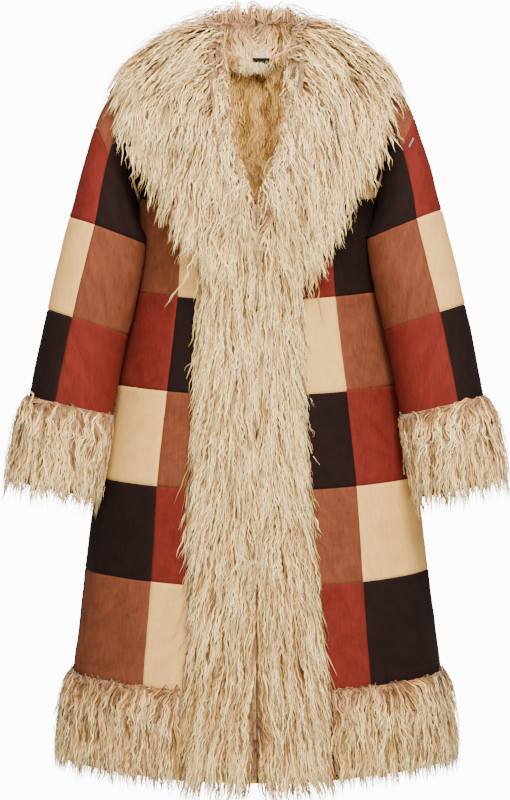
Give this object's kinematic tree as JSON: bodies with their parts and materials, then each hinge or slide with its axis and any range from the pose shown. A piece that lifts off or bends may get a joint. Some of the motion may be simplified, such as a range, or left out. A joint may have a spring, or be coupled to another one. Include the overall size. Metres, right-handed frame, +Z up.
{
  "type": "afghan coat",
  "caption": "Long flared patchwork coat with a wide shawl collar, front bands, hem band and cuffs of long wavy fur, hollow as it is when worn, with the sleeves hanging.",
  "frame": {"origin": "between the shoulders, at shoulder height, on the vertical line through the middle of the coat", "axes": "+Z up, +X towards the wearer's left, -Y out of the front"},
  "size_m": [0.7192, 0.4565, 1.1279],
  "materials": {
    "patchwork": "matt napped cloth in four colours",
    "long_fur": "long wavy curly pile",
    "lining_fur": "short dense pile, mottled",
    "label": "matt woven, blank",
    "loop": "matt cord",
    "tab": "woven, blank"
  },
  "bodies": {
    "root": {"front_left": "patchwork", "back_upper_left": "patchwork", "back_skirt_left": "patchwork", "sleeve_left": "patchwork", "cuff_left": "long_fur", "band_left": "long_fur", "hem_front_left": "long_fur", "collar_left": "long_fur", "front_right": "patchwork", "back_upper_right": "patchwork", "back_skirt_right": "patchwork", "sleeve_right": "patchwork", "cuff_right": "long_fur", "band_right": "long_fur", "hem_front_right": "long_fur", "collar_right": "long_fur", "hem_back": "long_fur", "lining_back": "lining_fur", "neck_label": "label", "hanger_loop": "loop", "sleeve_tab": "tab"}
  },
  "joints": []
}
